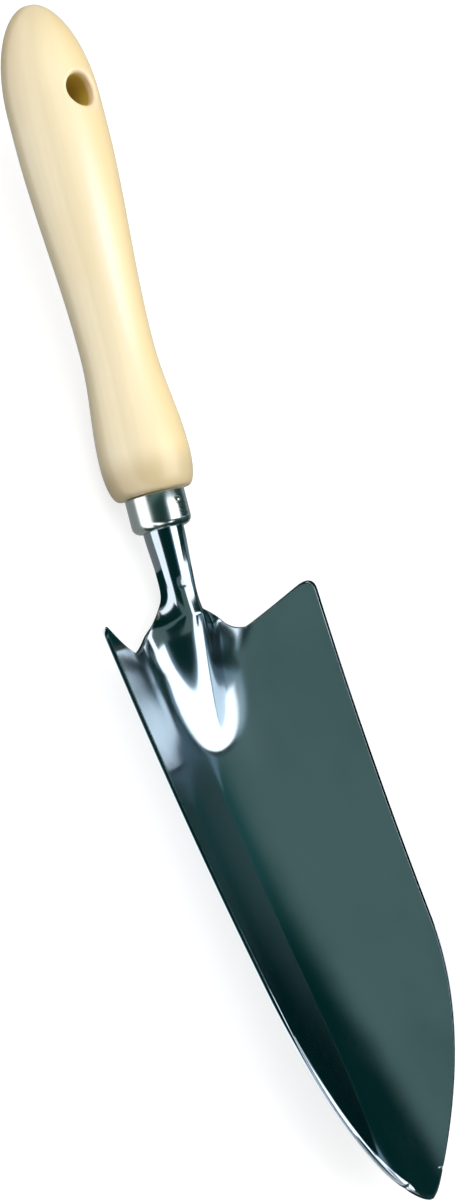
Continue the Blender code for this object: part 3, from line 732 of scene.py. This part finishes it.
def blade_front():
    """Upper face of the sheet, rows along it and columns across: the rolled circle of the neck moves
    evenly, from FLARE_STATION on, into the pressed dish with its ridge."""
    middle, end, half_width = blade_rows()[..., None]
    across, y = spread_columns(half_width)
    draw = smooth_step((middle - FERRULE_LENGTH) / (NECK_WAIST_STATION - FERRULE_LENGTH))
    radius = NECK_RADIUS - (NECK_RADIUS - NECK_WAIST_RADIUS) * draw
    angle = across * (math.pi - SEAM_GAP / (2.0 * radius))
    rolled = np.stack([middle + 0.0 * across, radius * np.sin(angle), radius * np.cos(angle)], axis=-1)
    x = middle + (end - middle) * np.abs(y / half_width) ** ROW_BEND
    pressed = np.stack([x, y, dish_height(x, y) + ridge_height(x, y)], axis=-1)
    flat = smooth_step((middle - FLARE_STATION) / FLARE_LENGTH)[..., None]
    return rolled + (pressed - rolled) * flat


def surface_normals(grid):
    """Unit normals of a grid surface, on the side from which rows run down and columns run right."""
    down = np.gradient(grid, axis=0)
    across = np.gradient(grid, axis=1)
    return unit(np.cross(down, across))


def press_mark(grid, normals):
    """The round mark: a hollow with a faint raised ring, both bell curves exp(-t^2) of the distance
    from its centre. Places and widths are shares of its radius, the ring's height of its depth."""
    out, up = math.sin(MARK_ANGLE), math.cos(MARK_ANGLE)
    centre = np.array([MARK_STATION, NECK_WAIST_RADIUS * out, NECK_WAIST_RADIUS * up])
    away = np.linalg.norm(grid - centre, axis=-1) / MARK_RADIUS
    hollow = np.exp(-(away / MARK_HOLLOW_WIDTH) ** 2)
    ring = MARK_RING_SHARE * np.exp(-((away - MARK_RING_PLACE) / MARK_RING_WIDTH) ** 2)
    return grid - normals * (MARK_DEPTH * (hollow - ring))[..., None]


def edge_loop(grid):
    """The grid's outline as one closed loop, down the left column first."""
    return np.concatenate([grid[:-1, 0], grid[-1, :-1], grid[:0:-1, -1], grid[0, :0:-1]])


def ground_edge(grid, normals):
    """The narrow bevel along one side of the point: within BEVEL_WIDTH of the outline the upper face
    sinks evenly to BEVEL_DEPTH. One ease along the blade and one across it bring it in."""
    outline = edge_loop(grid)
    outline = outline[outline[:, 0] > BEVEL_START]
    rows = grid[:, 0, 0] > BEVEL_START
    near = np.linalg.norm(grid[rows][:, :, None] - outline, axis=-1).min(axis=-1)
    depth = np.zeros(grid.shape[:2])
    depth[rows] = BEVEL_DEPTH * np.clip(1.0 - near / BEVEL_WIDTH, 0.0, 1.0)
    along = smooth_step((grid[..., 0] - BEVEL_START) / BEVEL_RUN)
    across = smooth_step((BEVEL_FADE_START - grid[..., 1]) / BEVEL_FADE)
    return grid - normals * (depth * along * across)[..., None]


def rounded_rim(front, back, normals):
    """The rim's rows from the front's outline to the back's: half an ellipse that bulges RIM_BULGE, made
    squarer by raising its sine and cosine to the power RIM_SQUARENESS."""
    loop_front, loop_back, loop_normal = edge_loop(front), edge_loop(back), edge_loop(normals)
    ahead = np.roll(loop_front, -1, axis=0) - np.roll(loop_front, 1, axis=0)
    outward = unit(np.cross(unit(ahead), loop_normal))
    turn = np.linspace(0.0, math.pi, RIM_ROWS + 2)[1:-1, None, None]
    up = np.sign(np.cos(turn)) * np.abs(np.cos(turn)) ** RIM_SQUARENESS
    out = np.abs(np.sin(turn)) ** RIM_SQUARENESS
    middle = (loop_front + loop_back) / 2.0
    half_edge = np.linalg.norm(loop_front - loop_back, axis=-1, keepdims=True) / 2.0
    return middle + loop_normal * half_edge * up + outward * RIM_BULGE * out


def make_blade():
    """The pressed sheet: its upper face, its back one thickness below, and a rounded rim."""
    plain = blade_front()
    normals = surface_normals(plain)
    back = plain - normals * SHEET
    front = ground_edge(press_mark(plain, normals), normals)
    rim = rounded_rim(front, back, normals)
    points = [grid.reshape(-1, 3) for grid in (front, back, rim)]
    index = np.arange(len(points[0])).reshape(front.shape[:2])
    back_index = index + len(points[0])
    rim_index = 2 * len(points[0]) + np.arange(len(points[2])).reshape(rim.shape[:2])
    strips = closed(np.concatenate([edge_loop(index)[None], rim_index, edge_loop(back_index)[None]]))
    faces = [grid_faces(index), grid_faces(back_index)[:, ::-1], grid_faces(strips)[:, ::-1]]
    blade = mesh_object("pressed_blade", to_world(np.concatenate(points)), np.concatenate(faces))
    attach(blade, "root")
    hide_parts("blade")
    return blade


class Value:
    """A number that changes over a surface. Arithmetic on it adds the Math nodes that it needs."""

    def __init__(self, finish, socket):
        self.finish = finish
        self.socket = socket

    def math(self, operation, *others):
        sockets = dict(enumerate((self,) + others))
        node = self.finish.node("ShaderNodeMath", {"operation": operation}, sockets)
        return Value(self.finish, node.outputs[0])

    def reflected(self, operation, other):
        node = self.finish.node("ShaderNodeMath", {"operation": operation}, {0: other, 1: self})
        return Value(self.finish, node.outputs[0])

    def __add__(self, other):
        return self.math("ADD", other)

    __radd__ = __add__

    def __sub__(self, other):
        return self.math("SUBTRACT", other)

    def __rsub__(self, other):
        return self.reflected("SUBTRACT", other)

    def __mul__(self, other):
        return self.math("MULTIPLY", other)

    __rmul__ = __mul__

    def __truediv__(self, other):
        return self.math("DIVIDE", other)

    def __rtruediv__(self, other):
        return self.reflected("DIVIDE", other)

    def __pow__(self, other):
        return self.math("POWER", other)

    def step(self, low, high):
        """Ease from 0 at low to 1 at high."""
        node = self.finish.node("ShaderNodeMapRange", {"interpolation_type": "SMOOTHSTEP"},
                                {"Value": self, "From Min": low, "From Max": high})
        return Value(self.finish, node.outputs["Result"])


class Finish:
    """The nodes of a material or of the world."""

    def __init__(self, owner):
        owner.use_nodes = True
        self.owner = owner
        self.tree = owner.node_tree

    def put(self, socket, value):
        """Links a value to a socket, or sets the socket to a plain number or colour."""
        if isinstance(value, Value):
            self.tree.links.new(value.socket, socket)
        elif isinstance(value, bpy.types.NodeSocket):
            self.tree.links.new(value, socket)
        else:
            socket.default_value = value

    def node(self, kind, settings=None, values=None):
        """A node of that kind: its settings first, then its sockets."""
        node = self.tree.nodes.new(kind)
        for name, setting in (settings or {}).items():
            setattr(node, name, setting)
        for socket, value in (values or {}).items():
            self.put(node.inputs[socket], value)
        return node

    def surface(self, **sockets):
        """Sets the shader's own sockets, by names with underscores for spaces."""
        shader = self.tree.nodes["Principled BSDF"]
        for name, value in sockets.items():
            self.put(shader.inputs[name.replace("_", " ")], value)

    def show(self, shader):
        """Links another shader to the output, in place of the first one."""
        output = next(node for node in self.tree.nodes if node.name.endswith("Output"))
        self.put(output.inputs["Surface"], shader.outputs[0])

    def tool_coordinates(self):
        """Object coordinates turned back into the tool's own frame."""
        place = self.node("ShaderNodeTexCoord").outputs["Object"]
        turned = self.node("ShaderNodeMapping", {"vector_type": "TEXTURE"},
                           {"Vector": place, "Location": REST_PLACE, "Rotation": (0.0, REST_TILT, 0.0)})
        return turned.outputs["Vector"]

    def axes(self, vector):
        """The three numbers of a vector."""
        parts = self.node("ShaderNodeSeparateXYZ", {}, {"Vector": vector})
        return [Value(self, parts.outputs[i]) for i in range(3)]

    def noise(self, place, per_metre, detail=2.0, roughness=0.5):
        """Noise with about that many grains to a metre along each axis."""
        scaled = self.node("ShaderNodeVectorMath", {"operation": "MULTIPLY"}, {0: place, 1: per_metre})
        grains = self.node("ShaderNodeTexNoise", {}, {
            "Vector": scaled.outputs["Vector"], "Scale": 1.0, "Detail": detail, "Roughness": roughness})
        return Value(self, grains.outputs["Fac"])

    def mix(self, share, first, second):
        """A colour between two others."""
        node = self.node("ShaderNodeMix", {"data_type": "RGBA"}, {"Factor": share, 6: first, 7: second})
        return node.outputs[2]

    def bump(self, height, distance, strength, under=None):
        """Normals of a fine relief, on top of those of another where one is given."""
        values = {"Height": height, "Distance": distance, "Strength": strength}
        if under:
            values["Normal"] = under
        return self.node("ShaderNodeBump", {}, values).outputs["Normal"]

    def seen(self):
        """1 for the eye and for what metal and glass show, 0 for the light that falls on things."""
        rays = self.node("ShaderNodeLightPath").outputs
        glossy, through = Value(self, rays["Is Glossy Ray"]), Value(self, rays["Is Transmission Ray"])
        return Value(self, rays["Is Camera Ray"]).math("MAXIMUM", glossy).math("MAXIMUM", through)


def wood_grain(wood, place):
    """Colour, fibres and late wood of the grain: slightly warped rings round the pith, fibres along the
    handle, soft clouds, painted shading that makes the side away from the pith, which faces +y and +z,
    warmer, and small flecks."""
    x, y, z = wood.axes(place)
    warp = wood.noise(place, WARP_GRAINS, detail=3.0)
    fibre = wood.noise(place, FIBRE_GRAINS, detail=4.0, roughness=0.6)
    cloud = wood.noise(place, CLOUD_GRAINS)
    fleck = wood.noise(place, FLECK_GRAINS, detail=1.0)
    away = ((y - PITH_Y) ** 2.0 + (z - PITH_Z) ** 2.0) ** 0.5
    ring = ((away + (warp - 0.5) * RING_WARP + x * RING_SLANT) * RINGS_PER_METRE).math("FRACT")
    late = ring.step(LATE_START, LATE_FULL) * (1.0 - ring.step(LATE_FULL, 1.0))
    colour = wood.mix(late * LATE_SHARE + (fibre - 0.5) * FIBRE_SHARE, PALE_WOOD, WARM_WOOD)
    colour = wood.mix(cloud.step(*CLOUD_BAND) * CLOUD_SHARE, colour, WARM_WOOD)
    # Painted shading: warmer away from the pith, on the side that faces +y and +z
    colour = wood.mix(away.step(*SHADING_AWAY_FROM_PITH) * SHADING_AWAY_FROM_PITH_SHARE, colour, WARM_WOOD)
    return wood.mix(fleck.step(*FLECK_BAND) * FLECK_SHARE, colour, DEEP_WOOD), fibre, late


def handle_tones(wood, grain, place):
    """The grain's colour with the larger tones of the handle, and where the wood is bare and shaded:
    a painted highlight, a bell curve exp(-t^2) round the handle and along it, a yellower side as
    painted shading, end grain and painted shade at the butt, painted shade at the shoulder, a warm
    lip at the hanging hole, and bare wood painted darker as shade inside it. side is 1 where the skin
    faces +y and +z alike, and -1 across from there."""
    x, y, z = wood.axes(place)
    from_axis = (y ** 2.0 + z ** 2.0) ** 0.5
    side = (y + z) * math.sqrt(0.5) / from_axis.math("MAXIMUM", 0.05 * BUTT_SWELL_RADIUS)
    # Painted highlight: a pale band round the handle and along it
    round_it, along_it = (side - PAINTED_HIGHLIGHT_SIDE) / PAINTED_HIGHLIGHT_WIDTH, (x + PAINTED_HIGHLIGHT_STATION) / PAINTED_HIGHLIGHT_LENGTH
    painted_highlight = ((round_it ** 2.0 + along_it ** 2.0) * -1.0).math("EXPONENT")
    colour = wood.mix(painted_highlight * PAINTED_HIGHLIGHT_SHARE, grain, PAINTED_HIGHLIGHT_WOOD)
    # Painted shading: the side that faces +y and +z turns yellower
    colour = wood.mix(side.step(*PAINTED_SIDE_RANGE), colour, PAINTED_SIDE_YELLOW)
    # End grain and painted shade at the butt, painted shade at the shoulder
    behind = x * -1.0
    butt = behind.step(*BUTT_TONE) * BUTT_SHARE
    shaded_butt = behind.step(*SHADE_TONE) * (1.0 - side.step(*SHADE_SIDE)) * SHADE_SHARE
    shoulder = x.step(*SHOULDER_SHADE)
    colour = wood.mix(shoulder + butt + shaded_butt, colour, END_GRAIN_AND_SHADE)
    from_hole = (((x + HOLE_STATION) ** 2.0 + y ** 2.0) ** 0.5) / HOLE_RADIUS
    lip = (1.0 - from_hole.step(*LIP_TONE)) * (y / HOLE_RADIUS).step(*LIP_SIDE)
    colour = wood.mix(lip, colour, LIP_WOOD)
    # Bare wood deep in the hole, painted darker as shade
    deep = 1.0 - (from_axis / BUTT_SWELL_RADIUS).step(*BARE_AND_SHADE_DEPTH)
    bare_and_shaded = (1.0 - from_hole.step(*BARE_AND_SHADE_TONE)) * deep
    return wood.mix(bare_and_shaded, colour, BARE_WOOD_AND_SHADE), bare_and_shaded


def lacquered_wood():
    """Pale close-grained wood under clear lacquer, of which the hanging hole has hardly any."""
    wood = Finish(bpy.data.materials.new("lacquered_wood"))
    place = wood.tool_coordinates()
    grain, fibre, late = wood_grain(wood, place)
    colour, bare_and_shaded = handle_tones(wood, grain, place)
    relief = wood.bump(fibre + late * LATE_RELIEF, WOOD_RELIEF, strength=0.35)
    rough = WOOD_ROUGHNESS + (fibre - 0.5) * FIBRE_ROUGHNESS + bare_and_shaded * BARE_ROUGHNESS
    wood.surface(Base_Color=colour, Roughness=rough, Normal=relief, Specular_IOR_Level=0.4,
                 Coat_Weight=LACQUER - bare_and_shaded * LACQUER_LOST, Coat_Roughness=0.20)
    return wood.owner


def bright_steel(name, colour, polish):
    """Polished steel, slightly wavy, with faint polishing lines along the tool and a little haze.
    The blade is a little duller from the start of its ridge on, and brightest beyond the ridge."""
    steel = Finish(bpy.data.materials.new(name))
    place = steel.tool_coordinates()
    x = steel.axes(place)[0]
    lines = steel.noise(place, LINE_GRAINS, detail=3.0, roughness=0.6)
    haze = steel.noise(place, HAZE_GRAINS, detail=3.0)
    wave = steel.noise(place, WAVE_GRAINS, detail=1.0)
    lined = steel.bump(lines, LINE_RELIEF, strength=0.5)
    relief = steel.bump(wave, WAVE_RELIEF, strength=0.5, under=lined)
    hazy = tuple(HAZE_TONE * part for part in colour[:3]) + (1.0,)
    tone = steel.mix(haze.step(*HAZE_BAND), colour, hazy)
    duller = x.step(RIDGE_START, RIDGE_START + DULLER_RUN) * DULLER_SHARE
    brighter = x.step(RIDGE_END, RIDGE_END + BRIGHTER_RUN) * BRIGHTER_SHARE
    rough = polish * (1.0 + duller - brighter) + lines * LINE_ROUGHNESS
    rough = rough + haze.step(*ROUGH_HAZE_BAND) * HAZE_ROUGHNESS
    steel.surface(Base_Color=tone, Metallic=1.0, Roughness=rough, Normal=relief)
    return steel.owner


def coat(thing, material):
    """Gives a piece that one material."""
    thing.data.materials.clear()
    thing.data.materials.append(material)


def plate(name, corners, height):
    """A level plate with those corners, in metres."""
    points = np.array([[x, y, height] for x, y in corners])
    thing = mesh_object(name, points, np.array([range(len(corners))]), smooth=False)
    return thing


def rectangle(low_x, low_y, high_x, high_y):
    """Its four corners, counter-clockwise as seen from above."""
    return [(low_x, low_y), (high_x, low_y), (high_x, high_y), (low_x, high_y)]


def only_mirrored(thing):
    """Polished metal reflects the thing, and neither the eye nor the light meets it."""
    thing.visible_camera = False
    thing.visible_diffuse = False
    thing.visible_shadow = False
    thing.visible_transmission = False
    thing.visible_volume_scatter = False


def make_floor():
    """White floor that keeps a soft shadow."""
    reach = FLOOR_REACH
    floor = plate("floor", rectangle(-reach, -reach, reach, reach), 0.0)
    white = Finish(bpy.data.materials.new("white_floor"))
    glow = white.node("ShaderNodeEmission", {}, {"Color": WHITE, "Strength": white.seen() * FLOOR_GLOW})
    matte = white.node("ShaderNodeBsdfDiffuse", {}, {"Color": FLOOR_GREY})
    white.show(white.node("ShaderNodeAddShader", {}, {0: glow.outputs[0], 1: matte.outputs[0]}))
    coat(floor, white.owner)


def mirrored_card(name, corners, height, colour, strength=1.0):
    """A plate that only polished metal reflects, in a plain glowing colour."""
    card = plate(name, corners, height)
    only_mirrored(card)
    glowing = Finish(bpy.data.materials.new(name))
    glowing.show(glowing.node("ShaderNodeEmission", {}, {"Color": colour, "Strength": strength}))
    coat(card, glowing.owner)


def make_cards():
    """Cards on the floor: a bright one on the side of the camera, a grey one under the neck and
    handle and a dark one under the blade."""
    bright = rectangle(-CARD_REACH, CARD_NEAR, CARD_REACH, CARD_EDGE)
    grey = rectangle(-CARD_REACH, CARD_EDGE, GREY_CARD_END, CARD_FAR)
    dark = rectangle(GREY_CARD_END, CARD_EDGE, CARD_REACH, CARD_FAR)
    mirrored_card("bright_card", bright, CARD_HEIGHT, WHITE, BRIGHT_CARD_BRIGHTNESS)
    mirrored_card("grey_card", grey, CARD_HEIGHT, CARD_GREY)
    mirrored_card("dark_card", dark, CARD_HEIGHT, DARK_TEAL)


def make_flags():
    """Small plates over the tool, each of which changes one part of the mirror: dark, grey and pale
    flags shade it, and the crest card lights it."""
    flags = {
        "pale_flag": (PALE_FLAG, FLAG_HEIGHT + PALE_FLAG_ABOVE, PALE_BLUE, 1.0),
        "dish_flag": (DISH_FLAG, FLAG_HEIGHT, DARK_TEAL, 1.0),
        "wall_flag": (WALL_FLAG, WALL_FLAG_HEIGHT, DARK_TEAL, 1.0),
        "neck_flag": (NECK_FLAG, FLAG_HEIGHT, DARK_TEAL, 1.0),
        "shoulder_flag": (SHOULDER_FLAG, LOW_FLAG_HEIGHT, FLAG_GREY, 1.0),
        "crest_card": (CREST_CARD, WALL_FLAG_HEIGHT, WHITE, BOX_BRIGHTNESS),
    }
    for name, (corners, height, colour, strength) in flags.items():
        mirrored_card(name, [(x * MM, y * MM) for x, y in corners], height, colour, strength)


def tent_cloth():
    """The tent's glow by direction. along and across are the reach in x and y over the height.

    It is dark teal, with a grey-green panel on the handle's side, a blue-grey rim round the overhead
    box, a small pale halo beside that, a bright wall low on the camera's side and a faint one low
    beyond the tool."""
    cloth = Finish(bpy.data.materials.new("tent_cloth"))
    x, y, z = cloth.axes(cloth.node("ShaderNodeTexCoord").outputs["Object"])
    height = z.math("MAXIMUM", LEAST_HEIGHT)
    along, across = x / height, y / height
    run = across.math("MAXIMUM", 0.0).math("MINIMUM", PANEL_REACH)
    panel_edge = run * PANEL_EDGE_SLANT + PANEL_EDGE
    panel_softness = run * PANEL_SOFTNESS_SLANT + PANEL_SOFTNESS
    panel = ((panel_edge - along) / panel_softness).step(0.0, 1.0)
    panel = panel * (1.0 - (along * -1.0).step(*PANEL_END))
    panel_colour = cloth.mix(across.step(*PANEL_SHADE), PANEL_GREY, PANEL_TEAL)
    colour = cloth.mix(panel, DARK_TEAL, panel_colour)
    rim = along.step(*RIM_START) * (1.0 - along.step(*RIM_END)) * across.step(*RIM_SIDE)
    colour = cloth.mix(rim, colour, PALE_BLUE)
    halo_along = (along - HALO_ALONG) * HALO_TIGHTNESS_ALONG
    halo_across = (across - HALO_ACROSS) * HALO_TIGHTNESS_ACROSS
    halo = ((halo_along ** 2.0 + halo_across ** 2.0) * -1.0).math("EXPONENT")
    colour = cloth.mix(halo, colour, HALO_BLUE)
    ahead, beyond, up = x / TENT_RADIUS, y / TENT_RADIUS, z / TENT_RADIUS
    near_top = ahead.step(*NEAR_CLIMB_RUN) * NEAR_CLIMB + NEAR_TOP
    near_wall = (near_top - up).step(*NEAR_BAND) * (beyond * -1.0).step(*NEAR_SIDE)
    colour = cloth.mix(near_wall, colour, NEAR_WALL_WHITE)
    far_wall = (1.0 - up.step(*FAR_BAND)) * beyond.step(*FAR_SIDE) * FAR_SHARE
    far_wall = far_wall * (1.0 - ahead.step(*FAR_END))
    colour = cloth.mix(far_wall, colour, FAR_WALL_TEAL)
    cloth.show(cloth.node("ShaderNodeEmission", {}, {"Color": colour, "Strength": 1.0}))
    return cloth.owner


def make_tent():
    """Dim half sphere round the studio, seen by polished metal only."""
    rows, steps = 40, 80
    rise = np.linspace(0.0, math.pi / 2.0, rows)[:, None]
    around = np.arange(steps) / steps * math.tau
    level, height = np.cos(rise), np.sin(rise) + 0.0 * around
    points = np.stack([level * np.cos(around), level * np.sin(around), height], axis=-1)
    ring = closed(np.arange(rows * steps).reshape(rows, steps))
    tent = mesh_object("tent", points.reshape(-1, 3) * TENT_RADIUS, grid_faces(ring))
    only_mirrored(tent)
    coat(tent, tent_cloth())


def make_world():
    """White to the eye and in reflections, plain soft light for everything else."""
    world = bpy.data.worlds.new("studio")
    bpy.context.scene.world = world
    studio = Finish(world)
    soft = studio.tree.nodes["Background"]
    studio.put(soft.inputs["Color"], WHITE)
    studio.put(soft.inputs["Strength"], WORLD_BRIGHTNESS)
    bright = studio.node("ShaderNodeBackground", {}, {"Color": WHITE, "Strength": 1.0})
    both = {"Fac": studio.seen(), 1: soft.outputs[0], 2: bright.outputs[0]}
    studio.show(studio.node("ShaderNodeMixShader", {}, both))


def area_lamp(name, size, energy):
    """A rectangular lamp of that size, facing down."""
    data = bpy.data.lights.new(name, "AREA")
    data.shape = "RECTANGLE"
    data.size, data.size_y = size
    data.energy = energy
    lamp = bpy.data.objects.new(name, data)
    bpy.context.scene.collection.objects.link(lamp)
    return lamp


def make_overhead_box():
    """One large soft box above and beyond the tool, level, facing down. Its energy is its area times
    pi times its brightness."""
    low, high = np.array(BOX_LOW) * BOX_HEIGHT, np.array(BOX_HIGH) * BOX_HEIGHT
    size = high - low
    box = area_lamp("overhead_box", size, BOX_BRIGHTNESS * math.pi * size[0] * size[1])
    box.location = (*((low + high) / 2.0), BOX_HEIGHT)


def make_key_lamp():
    """A soft lamp over the camera's side that lights the wood. Mirrors don't show it."""
    energy = KEY_LAMP_BRIGHTNESS * math.pi ** 2 * KEY_LAMP_DISTANCE ** 2
    lamp = area_lamp("key_lamp", (KEY_LAMP_SIZE, KEY_LAMP_SIZE), energy)
    towards = Vector(KEY_LAMP_DIRECTION).normalized()
    lamp.location = towards * KEY_LAMP_DISTANCE
    lamp.rotation_mode = "QUATERNION"
    lamp.rotation_quaternion = towards.to_track_quat("Z", "Y")
    lamp.visible_glossy = False


def main():
    """Makes the pieces with their finishes and the studio."""
    make_camera()
    handle = make_handle()
    ferrule = make_ferrule()
    pin = make_pin()
    blade = make_blade()
    plated = bright_steel("plated_steel", PLATED_COLOUR, PLATED_POLISH)
    coat(handle, lacquered_wood())
    coat(ferrule, plated)
    coat(pin, plated)
    coat(blade, bright_steel("polished_steel", STAINLESS_COLOUR, STAINLESS_POLISH))
    coat(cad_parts["tang"], bright_steel("bright_bar", BAR_COLOUR, BAR_POLISH))
    make_floor()
    make_cards()
    make_flags()
    make_tent()
    make_world()
    make_overhead_box()
    make_key_lamp()
    bpy.context.scene.view_settings.view_transform = "Standard"


main()
